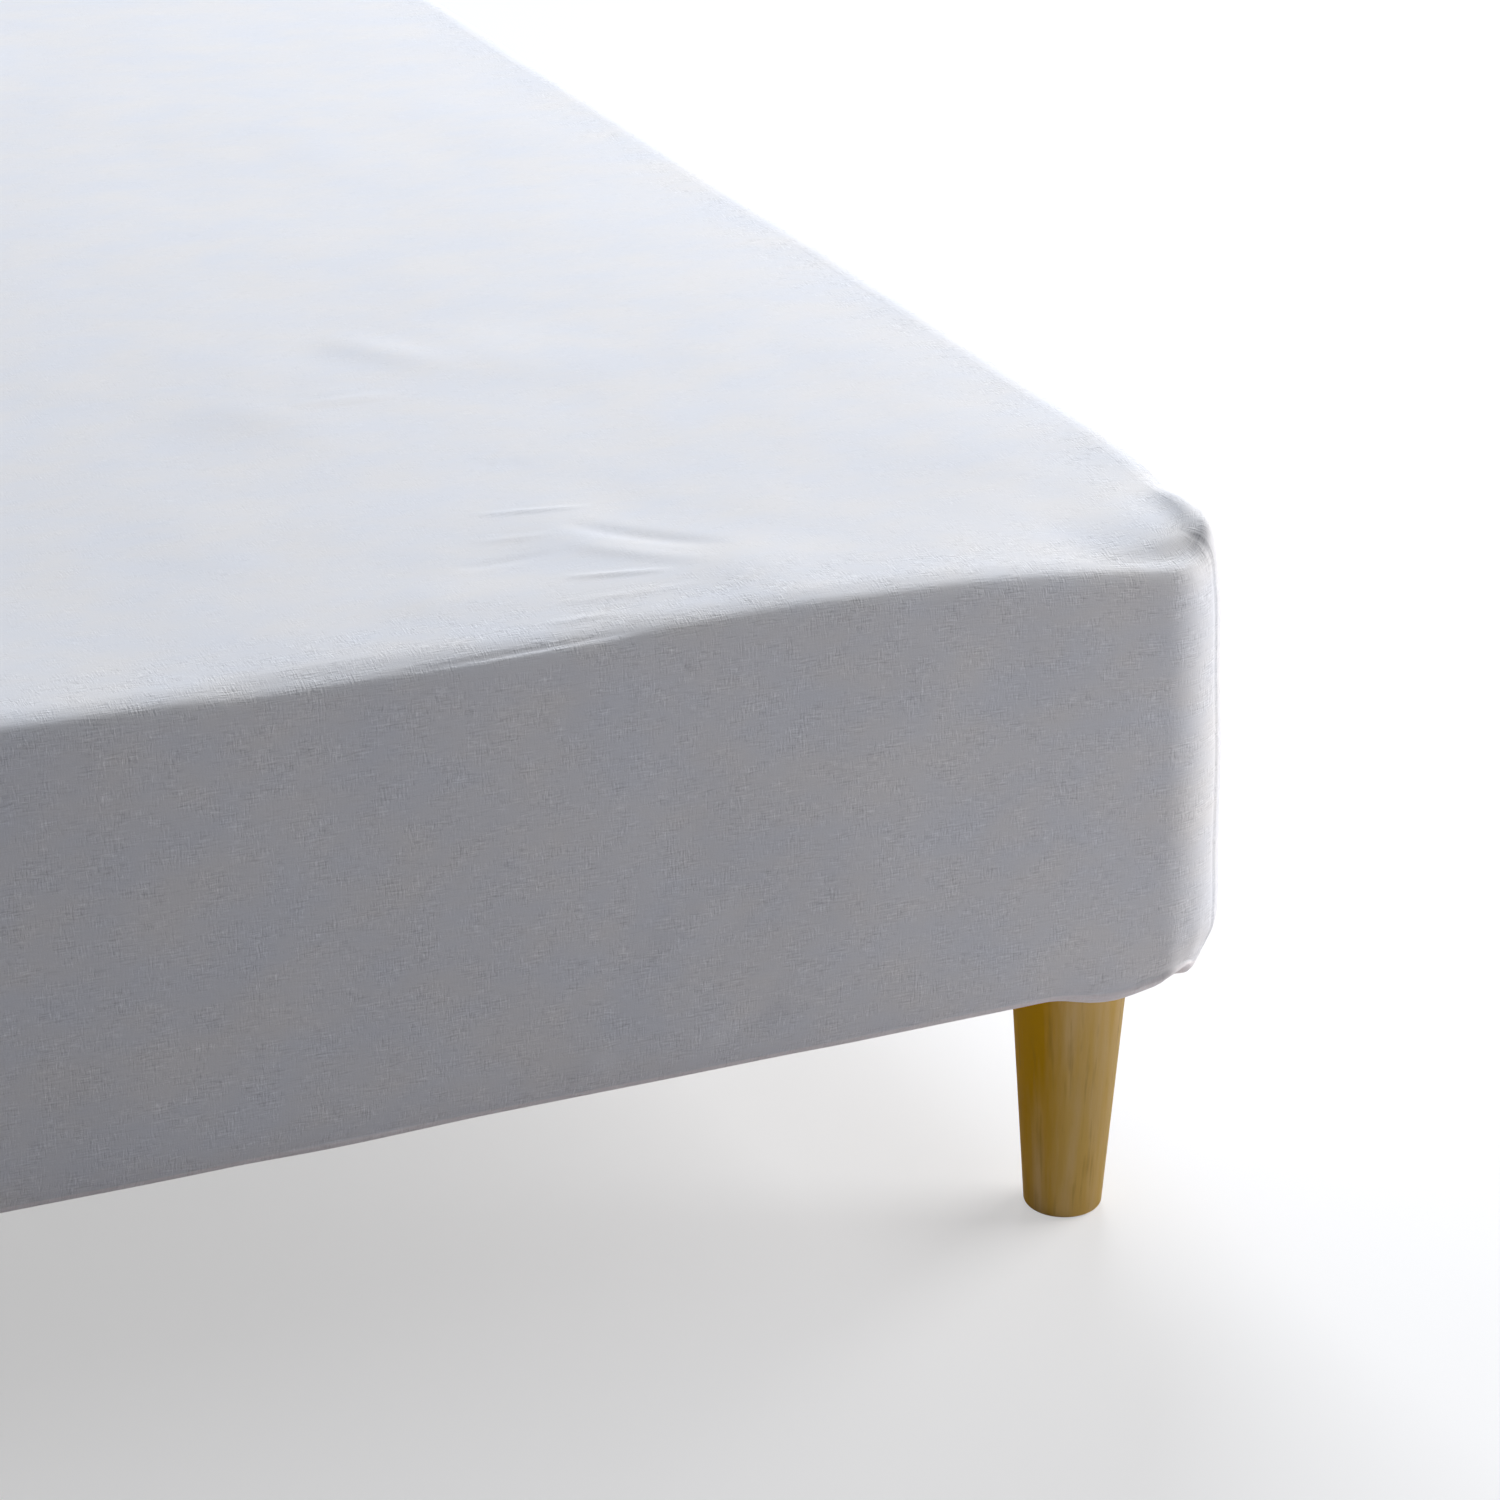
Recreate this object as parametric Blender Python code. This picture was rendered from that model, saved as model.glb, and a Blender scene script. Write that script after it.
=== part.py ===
"""Fitted sheet stretched over a legged single mattress, at real size.

The sheet is one cotton panel with a square cut out of each corner. Each cut is closed
by an upright corner seam, and an elastic hem draws the skirt in under the mattress,
outside the legs. Under the cloth are the plain mattress, with the bead of its edge
tape, and four turned wooden legs.

X runs across the bed, Y along it and Z up. The foot end faces -Y, and the origin is on
the floor under the middle. All sizes are metres.
"""

import math

import bpy
import numpy as np

# Whole bed, measured over the sheet at the fullest part of its sides.
WIDTH = 0.97
LENGTH = 1.95
BODY_HEIGHT = 0.242
CORNER_RADIUS = 0.054

# Legs: turned beech, tapered, set in from the corners.
LEG_LENGTH = 0.150
LEG_TOP_RADIUS = 0.0312
LEG_FOOT_RADIUS = 0.0203
LEG_FOOT_BEVEL = 0.0015
LEG_INSET_X = 0.071
LEG_INSET_Y = 0.064
LEG_SIDES = 24

# Cloth, and the clearances between the pieces. The mattress's corners lie lower than
# the cloth's, by CORNER_SLACK of the cloth's own drop.
CLOTH = 0.002
TOUCH = 0.0006
CORNER_SLACK = 0.03
LEG_SEAT = 0.0003

# Sections through the edge of the bed, from the flat top outwards and down.
# out: distance outside the rim, the line where the flat top ends.
# down: distance below the top. tuck, hang, seam: the row's share of the corner's
# tuck, of the hem's hang over a leg, and of the pucker on the corner seam.
SHEET_ROWS = (
    # row             out      down    tuck  hang  seam
    ("rim",          0.0000, 0.0000, 0.00, 0.0, 0.4),
    ("shoulder",     0.0050, 0.0008, 0.00, 0.0, 0.8),
    ("trough",       0.0100, 0.0030, 0.00, 0.0, 1.0),
    ("bead top",     0.0145, 0.0027, 0.00, 0.0, 1.0),
    ("bead side",    0.0195, 0.0078, 0.00, 0.0, 0.7),
    ("bead under",   0.0185, 0.0135, 0.00, 0.0, 0.4),
    ("face top",     0.0180, 0.0230, 0.00, 0.0, 0.2),
    ("face upper",   0.0200, 0.0700, 0.00, 0.0, 0.1),
    ("face middle",  0.0215, 0.1250, 0.00, 0.0, 0.0),
    ("face lower",   0.0212, 0.1800, 0.05, 0.0, 0.0),
    ("face foot",    0.0207, 0.2050, 0.15, 0.1, 0.0),
    ("round start",  0.0198, 0.2235, 0.35, 0.3, 0.1),
    ("round middle", 0.0165, 0.2375, 0.60, 0.8, 0.5),
    ("bottom",       0.0075, BODY_HEIGHT, 0.50, 1.0, 0.5),
    ("under",        None,   BODY_HEIGHT, 0.20, 1.0, 0.0),
    ("hem",          None,   BODY_HEIGHT, 0.00, 0.8, 0.0),
)
MATTRESS_ROWS = (
    # row             out      down    tuck  hang  seam
    ("rim",          0.0000, CLOTH + TOUCH, 0.00, 0.0, 0.0),
    ("shoulder",     0.0045, 0.0048, 0.00, 0.0, 0.0),
    ("bead top",     0.0116, 0.0073, 0.00, 0.0, 0.0),
    ("bead side",    0.0149, 0.0103, 0.00, 0.0, 0.0),
    ("bead under",   0.0142, 0.0148, 0.00, 0.0, 0.0),
    ("face top",     0.0150, 0.0240, 0.00, 0.0, 0.0),
    ("face upper",   0.0174, 0.0700, 0.00, 0.0, 0.0),
    ("face middle",  0.0189, 0.1250, 0.00, 0.0, 0.0),
    ("face lower",   0.0186, 0.1800, 0.05, 0.0, 0.0),
    ("face foot",    0.0176, 0.2030, 0.20, 0.0, 0.0),
    ("round start",  0.0162, 0.2200, 0.45, 0.0, 0.0),
    ("round middle", 0.0115, 0.2330, 0.80, 0.0, 0.0),
    ("base",         0.0020, BODY_HEIGHT - CLOTH - TOUCH, 0.60, 0.0, 0.0),
)
RIM_TO_FACE = max(row[1] for row in SHEET_ROWS if row[1] is not None)
RIM_X = WIDTH / 2 - RIM_TO_FACE
RIM_Y = LENGTH / 2 - RIM_TO_FACE
RIM_RADIUS = CORNER_RADIUS - RIM_TO_FACE
TOP_Z = LEG_LENGTH + MATTRESS_ROWS[-1][2]

# Hem: how far it reaches in under the bed, between the legs and outside a leg.
HEM_REACH = 0.050
HEM_REACH_AT_LEG = 0.030
HEM_LEG_ZONE = 0.050
HEM_EASE = 0.070
HEM_HANG = 0.005
HEM_HANG_WIDTH = 0.045

# Corners: how far the foot of the corner is tucked in, the gathers there (depth,
# waves from a face to the corner seam, and the depth where they start), and the
# pucker that the seam raises (upwards, outwards, and the share of the corner that it
# takes on the bed's sides and on its ends).
TUCK = 0.006
GATHER = 0.0016
GATHER_WAVES = 2.5
GATHER_FROM = 0.150
PUCKER_UP = 0.0045
PUCKER_OUT = 0.0010
PUCKER_SHARE_SIDE = 0.6
PUCKER_SHARE_END = 0.3

# The top: its crown, and at each corner how far the cloth pulls the mattress down,
# and how far along the width and the length that reaches.
CROWN = 0.004
DRAW_IN = 0.15
CORNERS = (
    # side_x side_y  drop   reach_x reach_y
    (+1, -1, 0.026, 0.27, 0.18),
    (-1, -1, 0.023, 0.24, 0.19),
    (+1, +1, 0.024, 0.22, 0.20),
    (-1, +1, 0.025, 0.25, 0.17),
)

# Low folds on the top, each a straight soft ridge between two points.
FOLDS = (
    # x0      y0      x1      y1    half_width height
    (0.170, -0.850, 0.240, -0.915, 0.030, 0.0022),
    (0.080, -0.905, 0.215, -0.925, 0.026, 0.0014),
    (0.090, -0.620, 0.215, -0.570, 0.040, 0.0018),
    (-0.330, -0.700, -0.200, -0.880, 0.050, 0.0018),
    (-0.350, 0.620, -0.180, 0.820, 0.055, 0.0020),
    (0.360, 0.500, 0.230, 0.780, 0.050, 0.0018),
)

# Grid lines over the top: close at the corners and over the foot end's folds.
CORNER_STEPS = 5
LINES_X = ((0.05, 4), (RIM_X - RIM_RADIUS, 10))
LINES_Y = ((-0.55, 10), (RIM_Y - RIM_RADIUS, 8))


def smooth(value):
    """Ease from 0 to 1 with level ends: 3 v^2 - 2 v^3, clipped outside 0 to 1."""
    value = np.clip(value, 0.0, 1.0)
    return value * value * (3.0 - 2.0 * value)


def grid_lines(half, stretches):
    """Positions of the grid lines from -half to half.

    Each corner square gets CORNER_STEPS lines. Between them each stretch runs on from
    the one before to its own end, in its own number of steps.
    """
    start = -(half - RIM_RADIUS)
    lines = [np.linspace(-half, start, CORNER_STEPS + 1)]
    for end, steps in stretches:
        lines.append(np.linspace(start, end, steps + 1)[1:])
        start = end
    lines.append(np.linspace(start, half, CORNER_STEPS + 1)[1:])
    return np.concatenate(lines)


def corner_share(s, t):
    """How far a panel point lies into a corner square, 0 to 1 along each side."""
    u = np.clip((np.abs(s) - (RIM_X - RIM_RADIUS)) / RIM_RADIUS, 0.0, 1.0)
    v = np.clip((np.abs(t) - (RIM_Y - RIM_RADIUS)) / RIM_RADIUS, 0.0, 1.0)
    return u, v


def round_plan(s, t):
    """Carry a point of the square-cornered panel to the round-cornered top.

    Only the corner squares change: (u, v) goes to
    (u sqrt(1 - v^2 / 2), v sqrt(1 - u^2 / 2)), which bends the square's two outer
    sides into one quarter circle, with the square's corner at its middle.
    """
    u, v = corner_share(s, t)
    x = np.abs(s) + RIM_RADIUS * u * (np.sqrt(1.0 - v * v / 2.0) - 1.0)
    y = np.abs(t) + RIM_RADIUS * v * (np.sqrt(1.0 - u * u / 2.0) - 1.0)
    return np.sign(s) * x, np.sign(t) * y


def corner_drop(x, y, of_cloth):
    """Drop of the corners: each falls off as (1 - distance / reach)^2 both ways."""
    total = np.zeros_like(x)
    for side_x, side_y, drop, reach_x, reach_y in CORNERS:
        near_x = np.clip(1.0 - (WIDTH / 2 - side_x * x) / reach_x, 0.0, 1.0)
        near_y = np.clip(1.0 - (LENGTH / 2 - side_y * y) / reach_y, 0.0, 1.0)
        total += drop * near_x ** 2 * near_y ** 2
    return total if of_cloth else total * (1.0 + CORNER_SLACK)


def fold_height(x, y):
    """Sum of the folds, each a bell across its line that fades out past its ends."""
    total = np.zeros_like(x)
    for x0, y0, x1, y1, half_width, height in FOLDS:
        along = np.array((x1 - x0, y1 - y0))
        length = np.hypot(*along)
        along /= length
        run = (x - x0) * along[0] + (y - y0) * along[1]
        side = (x - x0) * along[1] - (y - y0) * along[0]
        past = np.maximum(np.abs(run - length / 2) - length / 2, 0.0)
        total += height * np.exp(-(side ** 2 + past ** 2) / half_width ** 2)
    return total


def top_points(s, t, down, of_cloth):
    """The top of the bed over a panel grid, at a depth below the cloth's face."""
    x, y = round_plan(s, t)
    drop = corner_drop(x, y, of_cloth)
    crown = CROWN * (1.0 - (x / RIM_X) ** 2) * (1.0 - (y / RIM_Y) ** 2)
    z = TOP_Z - down - drop + np.maximum(crown, 0.0)
    if of_cloth:
        z += fold_height(x, y)
    return draw_in(x, y, drop, 1.0) + (z,)


def draw_in(x, y, drop, share):
    """Pull a point in towards both middles by its share of the corner's drop."""
    pull = DRAW_IN * drop * share
    return x - np.sign(x) * pull, y - np.sign(y) * pull


def loop_of(across, along):
    """Walk round the panel's edge, anticlockwise from above.

    Gives each column's grid indices, panel position and outward direction. The
    columns in a corner square fan out round the corner's middle.
    """
    last_i, last_j = len(across) - 1, len(along) - 1
    walk = [(i, 0) for i in range(last_i)]
    walk += [(last_i, j) for j in range(last_j)]
    walk += [(i, last_j) for i in range(last_i, 0, -1)]
    walk += [(0, j) for j in range(last_j, 0, -1)]
    i, j = np.array(walk).T
    s, t = across[i], along[j]
    x, y = round_plan(s, t)
    middle_x = np.clip(x, -(RIM_X - RIM_RADIUS), RIM_X - RIM_RADIUS)
    middle_y = np.clip(y, -(RIM_Y - RIM_RADIUS), RIM_Y - RIM_RADIUS)
    out_x, out_y = x - middle_x, y - middle_y
    size = np.hypot(out_x, out_y)
    return i, j, s, t, out_x / size, out_y / size


def leg_bump(x, y, width):
    """1 beside each leg, along either face, and 0 from width away from it."""
    leg_x, leg_y = WIDTH / 2 - LEG_INSET_X, LENGTH / 2 - LEG_INSET_Y
    on_end = np.abs(y) > leg_y + RIM_RADIUS / 2
    on_side = np.abs(x) > leg_x + RIM_RADIUS / 2
    by_end = np.where(on_end, 1.0 - np.abs(np.abs(x) - leg_x) / width, 0.0)
    by_side = np.where(on_side, 1.0 - np.abs(np.abs(y) - leg_y) / width, 0.0)
    return smooth(np.maximum(by_end, by_side))


def hem_reach(x, y):
    """Reach of the hem under the bed: short from a leg outwards, long between legs."""
    leg_x, leg_y = WIDTH / 2 - LEG_INSET_X, LENGTH / 2 - LEG_INSET_Y
    between_x = (leg_x - HEM_LEG_ZONE - np.abs(x)) / HEM_EASE
    between_y = (leg_y - HEM_LEG_ZONE - np.abs(y)) / HEM_EASE
    between = smooth(np.where(np.abs(x) > leg_x, between_y, between_x))
    return HEM_REACH_AT_LEG + (HEM_REACH - HEM_REACH_AT_LEG) * between


def skirt_points(loop, rows, of_cloth):
    """Rows of the section carried round the bed's edge, as arrays (row, column)."""
    s, t, out_x, out_y = loop[2:]
    x, y = round_plan(s, t)
    u, v = corner_share(s, t)
    corner = smooth(np.minimum(u, v) * 2.0)
    drop = corner_drop(x, y, of_cloth)
    hang = HEM_HANG * leg_bump(x + out_x * RIM_TO_FACE, y + out_y * RIM_TO_FACE,
                               HEM_HANG_WIDTH)
    hem_out = RIM_TO_FACE - hem_reach(x, y)
    waves = 0.5 - 0.5 * np.cos(2.0 * math.pi * GATHER_WAVES * np.minimum(u, v))
    share = np.where(u >= v, PUCKER_SHARE_SIDE, PUCKER_SHARE_END)
    pucker = smooth(1.0 - (1.0 - np.minimum(u, v)) / share)
    bottom_out = [row[1] for row in rows if row[1] is not None][-1]
    points = []
    for name, out, down, tuck, hung, seam in rows:
        if name == "under":
            out = (bottom_out + hem_out) / 2.0
        elif name == "hem":
            out = hem_out
        fade = (1.0 - down / BODY_HEIGHT) ** 2
        out = out - TUCK * tuck * corner + PUCKER_OUT * seam * pucker
        if of_cloth:
            rise = smooth((down - GATHER_FROM) / (BODY_HEIGHT - GATHER_FROM))
            out = out + GATHER * waves * rise * (tuck > 0.0)
        raised = PUCKER_UP * seam * pucker * (1.0 - down / BODY_HEIGHT)
        z = TOP_Z - down - drop * fade - hang * hung + raised
        plan = draw_in(x + out_x * out, y + out_y * out, drop, fade)
        points.append(np.stack(plan + (z,), axis=-1))
    return np.array(points)


def bed_surface(rows, of_cloth):
    """Vertices and triangles of the top with its skirt, and the last row's indices."""
    across, along = grid_lines(RIM_X, LINES_X), grid_lines(RIM_Y, LINES_Y)
    s, t = np.meshgrid(across, along)
    loop = loop_of(across, along)
    top = np.stack(top_points(s, t, rows[0][2], of_cloth), axis=-1).reshape(-1, 3)
    skirt = skirt_points(loop, rows, of_cloth)
    columns = len(loop[0])
    top_index = np.arange(s.size).reshape(s.shape)
    rings = [top_index[loop[1], loop[0]]]
    for row in range(1, len(rows)):
        rings.append(s.size + (row - 1) * columns + np.arange(columns))
    top[rings[0]] = skirt[0]
    vertices = np.concatenate((top, skirt[1:].reshape(-1, 3)))

    quads = [np.stack((top_index[:-1, :-1], top_index[:-1, 1:],
                       top_index[1:, 1:], top_index[1:, :-1]), axis=-1).reshape(-1, 4)]
    for upper, lower in zip(rings[:-1], rings[1:]):
        quads.append(np.stack((lower, np.roll(lower, -1), np.roll(upper, -1), upper),
                              axis=-1))
    quads = np.concatenate(quads)
    triangles = np.concatenate((quads[:, (0, 1, 2)], quads[:, (0, 2, 3)]))
    return vertices, triangles, rings[-1]


def material(name, colour, roughness):
    """A plain Principled material."""
    made = bpy.data.materials.new(name)
    made.use_nodes = True
    shader = made.node_tree.nodes["Principled BSDF"]
    shader.inputs["Base Color"].default_value = colour + (1.0,)
    shader.inputs["Roughness"].default_value = roughness
    shader.inputs["Metallic"].default_value = 0.0
    return made


def add_object(name, vertices, faces, surface):
    """A mesh object from points and faces, with its material."""
    mesh = bpy.data.meshes.new(name)
    mesh.from_pydata([tuple(point) for point in vertices], [], [tuple(f) for f in faces])
    mesh.materials.append(surface)
    mesh.shade_smooth()
    thing = bpy.data.objects.new(name, mesh)
    bpy.context.scene.collection.objects.link(thing)
    return thing


def add_sheet():
    """The fitted sheet: one cloth, thickened inwards from its outer face."""
    vertices, triangles, _ = bed_surface(SHEET_ROWS, True)
    white = material("white_cotton", (0.82, 0.83, 0.87), 0.85)
    sheet = add_object("fitted_sheet", vertices.tolist(), triangles.tolist(), white)
    wall = sheet.modifiers.new("cloth", "SOLIDIFY")
    wall.thickness = CLOTH
    wall.offset = -1.0
    wall.use_even_offset = True
    wall.use_rim = True


def add_mattress():
    """The mattress: a soft-edged block with a flat base, just inside the cloth."""
    vertices, triangles, last = bed_surface(MATTRESS_ROWS, False)
    faces = triangles.tolist() + [last[::-1].tolist()]
    cover = material("mattress_cover", (0.80, 0.79, 0.76), 0.90)
    add_object("mattress", vertices.tolist(), faces, cover)


def add_leg(name, x, y, wood):
    """One turned leg: a taper on a slightly bevelled foot, up to the mattress base."""
    profile = (
        (LEG_FOOT_RADIUS - LEG_FOOT_BEVEL, 0.0),
        (LEG_FOOT_RADIUS, LEG_FOOT_BEVEL),
        (LEG_TOP_RADIUS, LEG_LENGTH - LEG_SEAT),
    )
    turn = np.arange(LEG_SIDES) * 2.0 * math.pi / LEG_SIDES
    rings = [np.stack((r * np.cos(turn), r * np.sin(turn), np.full(LEG_SIDES, z)), -1)
             for r, z in profile]
    side = np.arange(LEG_SIDES)
    ahead = np.roll(side, -1)
    faces = [side[::-1].tolist(), (side + LEG_SIDES * (len(rings) - 1)).tolist()]
    for ring in range(len(rings) - 1):
        low, high = ring * LEG_SIDES, (ring + 1) * LEG_SIDES
        faces += np.stack((side + low, ahead + low, ahead + high, side + high),
                          axis=-1).tolist()
    leg = add_object(name, np.concatenate(rings).tolist(), faces, wood)
    leg.data.set_sharp_from_angle(angle=math.radians(40.0))
    leg.location = (x, y, 0.0)


def build():
    """Clear the scene and make the bed's pieces."""
    for thing in list(bpy.data.objects):
        bpy.data.objects.remove(thing, do_unlink=True)
    add_sheet()
    add_mattress()
    wood = material("natural_wood", (0.52, 0.37, 0.17), 0.50)
    leg_x, leg_y = WIDTH / 2 - LEG_INSET_X, LENGTH / 2 - LEG_INSET_Y
    for end, side_y in (("front", -1), ("back", 1)):
        for side, side_x in (("left", -1), ("right", 1)):
            add_leg(f"leg_{end}_{side}", side_x * leg_x, side_y * leg_y, wood)


build()
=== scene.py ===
"""Looks of a white fitted sheet stretched over a single mattress on turned wooden legs.

X runs across the bed, Y along it with the foot end at -Y, and Z up. All sizes are metres.
"""

import math

import bpy
import numpy as np
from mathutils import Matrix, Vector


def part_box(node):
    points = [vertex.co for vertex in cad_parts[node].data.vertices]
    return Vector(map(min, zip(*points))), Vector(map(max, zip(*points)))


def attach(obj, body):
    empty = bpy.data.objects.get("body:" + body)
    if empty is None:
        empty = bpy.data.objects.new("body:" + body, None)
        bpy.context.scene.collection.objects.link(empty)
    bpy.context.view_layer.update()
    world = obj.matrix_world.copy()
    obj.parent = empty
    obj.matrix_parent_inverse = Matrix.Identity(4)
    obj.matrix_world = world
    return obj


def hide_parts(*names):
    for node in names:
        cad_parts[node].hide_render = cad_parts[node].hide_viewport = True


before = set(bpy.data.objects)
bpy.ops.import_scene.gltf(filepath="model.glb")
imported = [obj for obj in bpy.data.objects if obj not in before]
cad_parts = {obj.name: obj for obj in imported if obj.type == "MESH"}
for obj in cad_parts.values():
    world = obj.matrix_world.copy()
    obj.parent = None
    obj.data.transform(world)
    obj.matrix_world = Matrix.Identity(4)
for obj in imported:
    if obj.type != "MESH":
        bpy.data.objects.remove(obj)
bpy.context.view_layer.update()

# ------------------------------------------------------------------- viewpoint
# The photograph looks down on the foot end's right corner from standing height and
# through a long lens, so that upright edges stay nearly upright.
VIEW_FROM = (-0.5772, -2.7475, 1.1538)
VIEW_YAW = 23.844
VIEW_PITCH = 23.297
VIEW_LENS = 108.0
VIEW_FILM = 36.0

lens = bpy.data.cameras.new("view")
lens.lens = VIEW_LENS
lens.sensor_width = VIEW_FILM
camera = bpy.data.objects.new("view", lens)
camera.location = VIEW_FROM
camera.rotation_euler = (math.radians(90.0 - VIEW_PITCH), 0.0, -math.radians(VIEW_YAW))
bpy.context.scene.collection.objects.link(camera)
bpy.context.scene.camera = camera

# ---------------------------------------------------------------------- studio
# A plain pale floor, seen paler than it lights. Broad soft windows stand high behind the
# bed and low on its right, so that the top is bright, the right side brightest and the
# foot end in shade. A flag keeps the stronger of the right ones off the legs.
FLOOR_HALF = 14.0
FLOOR_SEEN = (0.92, 0.92, 0.92)
FLOOR_GLOW = 0.95
FLOOR_GLOW_SHARE = 0.5
FLOOR_BOUNCE = (0.605, 0.582, 0.590)
SKY = (0.82, 0.87, 1.0)
SKY_STRENGTH = 0.125
WINDOWS = (
    # name            place             faces              size        power  colour
    ("window_right", (2.9, -0.78, 1.25), (0.3, -0.8, 0.3), (2.6, 1.4), 11.0, (1.0, 0.99, 0.99)),
    ("window_flagged", (2.9, -0.78, 1.25), (0.3, -0.8, 0.3), (2.6, 1.4), 87.0, (1.0, 0.99, 0.99)),
    ("window_back", (2.4, 5.6, 5.8), (0.4, -0.6, 0.3), (4.4, 3.2), 605.0, (0.895, 0.935, 1.0)),
)


def node(tree, kind, **values):
    """A node, with its inputs and its settings set by name, _ standing for a space."""
    made = tree.nodes.new(kind)
    for key, value in values.items():
        if key.replace("_", " ") in made.inputs:
            made.inputs[key.replace("_", " ")].default_value = value
        else:
            setattr(made, key, value)
    return made


def empty_tree(owner):
    """The cleared node tree of a material or a world."""
    owner.use_nodes = True
    owner.node_tree.nodes.clear()
    return owner.node_tree


def split_by_ray(tree, output, lighting, seen):
    """Join two shaders: one lights the scene, and the camera sees the other."""
    ray = node(tree, "ShaderNodeLightPath")
    either = node(tree, "ShaderNodeMixShader")
    tree.links.new(ray.outputs["Is Camera Ray"], either.inputs["Fac"])
    tree.links.new(lighting.outputs[0], either.inputs[1])
    tree.links.new(seen.outputs[0], either.inputs[2])
    tree.links.new(either.outputs[0], output.inputs["Surface"])


def add_window(name, place, faces, size, power, colour):
    """A rectangular area light, turned from its place to the point that it faces."""
    lamp = bpy.data.lights.new(name, "AREA")
    lamp.shape = "RECTANGLE"
    lamp.size, lamp.size_y = size
    lamp.energy = power
    lamp.color = colour
    window = bpy.data.objects.new(name, lamp)
    ray = np.subtract(faces, place)
    level = math.hypot(ray[0], ray[1])
    window.location = place
    window.rotation_euler = (math.atan2(level, -ray[2]), 0.0, math.atan2(-ray[0], ray[1]))
    window.visible_camera = False
    bpy.context.scene.collection.objects.link(window)
    return window


plate = bpy.data.meshes.new("floor")
plate.from_pydata([(x * FLOOR_HALF, y * FLOOR_HALF, 0.0)
                   for x, y in ((-1, -1), (1, -1), (1, 1), (-1, 1))], [], [(0, 1, 2, 3)])
plate.materials.append(bpy.data.materials.new("pale_floor"))
floor = bpy.data.objects.new("floor", plate)
bpy.context.scene.collection.objects.link(floor)

tree = empty_tree(plate.materials[0])
matt = node(tree, "ShaderNodeBsdfDiffuse", Color=FLOOR_SEEN + (1.0,))
glow = node(tree, "ShaderNodeEmission", Strength=FLOOR_GLOW)
pale = node(tree, "ShaderNodeMixShader", Fac=FLOOR_GLOW_SHARE)
tree.links.new(matt.outputs[0], pale.inputs[1])
tree.links.new(glow.outputs[0], pale.inputs[2])
split_by_ray(tree, node(tree, "ShaderNodeOutputMaterial"),
             node(tree, "ShaderNodeBsdfDiffuse", Color=FLOOR_BOUNCE + (1.0,)), pale)

bpy.context.scene.world = bpy.data.worlds.new("studio")
tree = empty_tree(bpy.context.scene.world)
split_by_ray(tree, node(tree, "ShaderNodeOutputWorld"),
             node(tree, "ShaderNodeBackground", Color=SKY + (1.0,), Strength=SKY_STRENGTH),
             node(tree, "ShaderNodeBackground", Color=FLOOR_SEEN + (1.0,)))

windows = {row[0]: add_window(*row) for row in WINDOWS}
bpy.context.scene.view_settings.view_transform = "Standard"

# ------------------------------------------------------------------------ legs
# Four legs of pale hardwood, turned to a plain taper and lacquered. Each stands on its
# foot and is screwed to the mattress base.
LEG_SIDES = 96
LEG_RINGS = 40
LEG_EASE_RINGS = 6
LEG_FOOT_RADIUS = 0.0203
LEG_FOOT_EASE = 0.0030
SHARP_EDGE = math.radians(40.0)

# The grain's bands, lines and pores, and painted shade: a browner, darker colour on the
# side of each leg towards the middle of the bed.
WOOD_PALE = (0.95, 0.67, 0.29)
WOOD_MID = (0.90, 0.59, 0.16)
WOOD_DARK = (0.50, 0.27, 0.03)
WOOD_PAINTED_SHADE = (0.74, 0.40, 0.01)
PAINTED_SHADE_FROM, PAINTED_SHADE_TO = 0.3885, 0.4010
PAINTED_SHADE_WAVER = 0.004
BAND_WIDTH, BAND_LENGTH = 0.0110, 0.16
LINE_WIDTH, LINE_LENGTH = BAND_WIDTH / 3.0, BAND_LENGTH / 3.0
LINE_SHADE = 0.45
PORE_WIDTH, PORE_LENGTH = 0.0011, 0.024
PORE_SHADE = 0.10


def surface(name, points, faces, finish):
    """A smooth-shaded mesh object, from an array of points and a list of faces."""
    mesh = bpy.data.meshes.new(name)
    mesh.from_pydata(points.tolist(), [], faces)
    mesh.materials.append(finish)
    mesh.shade_smooth()
    piece = bpy.data.objects.new(name, mesh)
    bpy.context.scene.collection.objects.link(piece)
    return piece


def leg_rings(low, high):
    """Rings of a turned leg that fills the box from low to high.

    Radius = foot + (top - foot) * height share, less a quarter-round ease at the floor,
    where inside = 1 - z / ease and the cut is ease * (1 - sqrt(1 - inside^2)).
    """
    height = high.z - low.z
    z = np.append(np.linspace(0.0, LEG_FOOT_EASE, LEG_EASE_RINGS, endpoint=False),
                  np.linspace(LEG_FOOT_EASE, height, LEG_RINGS))
    inside = np.clip(1.0 - z / LEG_FOOT_EASE, 0.0, 1.0)
    radius = LEG_FOOT_RADIUS + ((high.x - low.x) / 2.0 - LEG_FOOT_RADIUS) * z / height
    radius = (radius - LEG_FOOT_EASE * (1.0 - np.sqrt(1.0 - inside ** 2)))[:, None]
    turn = np.arange(LEG_SIDES) * 2.0 * math.pi / LEG_SIDES
    return np.stack(((low.x + high.x) / 2.0 + radius * np.cos(turn),
                     (low.y + high.y) / 2.0 + radius * np.sin(turn),
                     np.broadcast_to((low.z + z)[:, None], (len(z), LEG_SIDES))), axis=-1)


def tube_faces(rings, sides):
    """Quads between neighbouring rings, and a flat face at each end."""
    side = np.arange(sides)
    low = side + sides * np.arange(rings - 1)[:, None]
    next_low = np.roll(side, -1) + sides * np.arange(rings - 1)[:, None]
    quads = np.stack((low, next_low, next_low + sides, low + sides), axis=-1)
    ends = [side[::-1].tolist(), (side + sides * (rings - 1)).tolist()]
    return quads.reshape(-1, 4).tolist() + ends


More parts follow.
